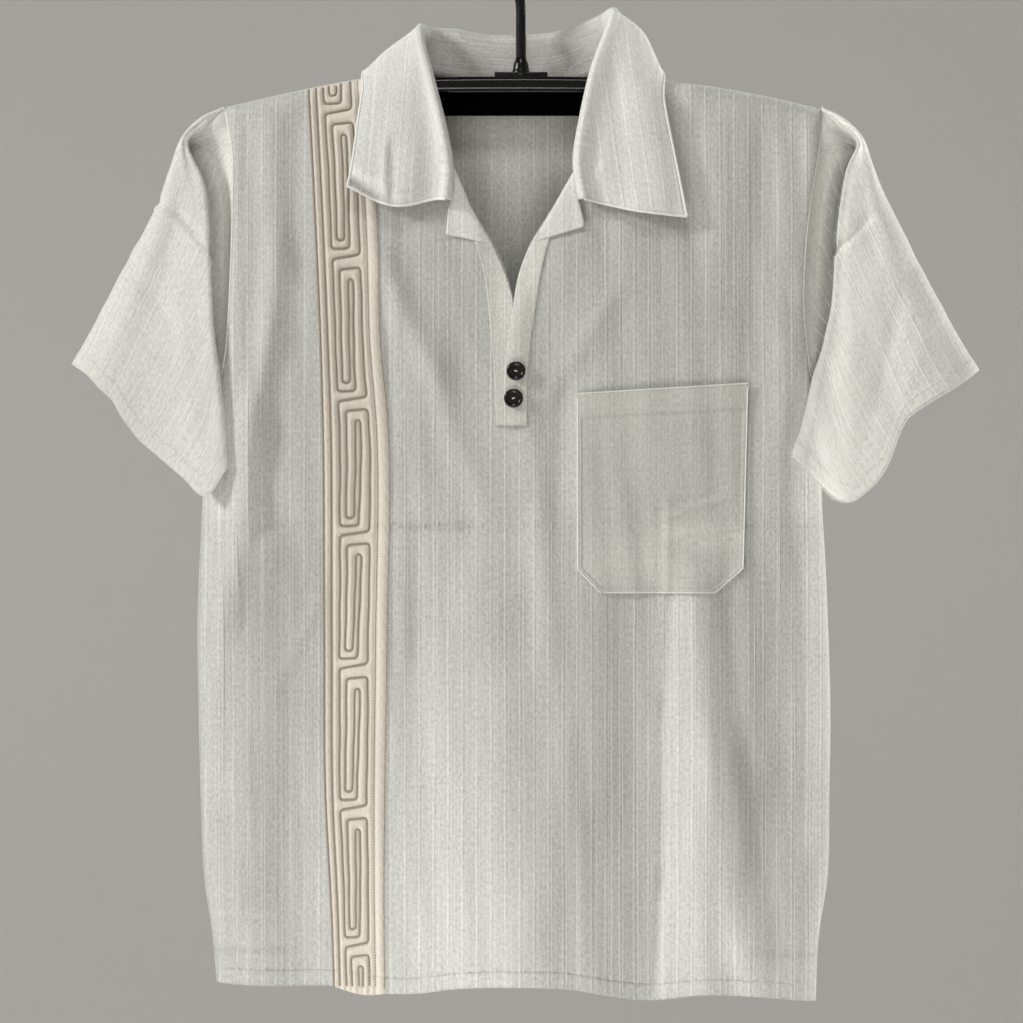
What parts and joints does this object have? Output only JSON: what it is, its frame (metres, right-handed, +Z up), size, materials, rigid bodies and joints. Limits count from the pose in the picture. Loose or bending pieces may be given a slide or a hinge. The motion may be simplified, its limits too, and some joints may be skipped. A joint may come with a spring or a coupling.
{
  "type": "short-sleeve half-placket shirt on a hanger",
  "caption": "Short-sleeve pullover shirt with an open pointed collar, half placket, patch pocket and a stitched band down one front, hanging flat on a moulded hanger.",
  "frame": {"origin": "inner top of the hook's arc, where a rail bears on it", "axes": "+Z up, +X to the viewer's right, the shirt's front faces -Y"},
  "size_m": [0.7005, 0.0578, 0.8358],
  "materials": {
    "ribbed_cotton": "matt, hand-woven with thin ribs",
    "band_cotton": "matt, cream, with a raised taupe cord in a running key",
    "button_brown": "semi-gloss, dished",
    "hanger_plastic": "semi-gloss, moulded"
  },
  "bodies": {
    "root": {"front": "ribbed_cotton", "back": "ribbed_cotton", "band": "band_cotton", "sleeve_left": "ribbed_cotton", "sleeve_right": "ribbed_cotton", "collar": "ribbed_cotton", "revers_left": "ribbed_cotton", "revers_right": "ribbed_cotton", "placket_under": "ribbed_cotton", "placket_over": "ribbed_cotton", "pocket": "ribbed_cotton", "button_upper": "button_brown", "button_lower": "button_brown", "hanger_bar": "hanger_plastic", "hanger_hook": "hanger_plastic"}
  },
  "joints": []
}
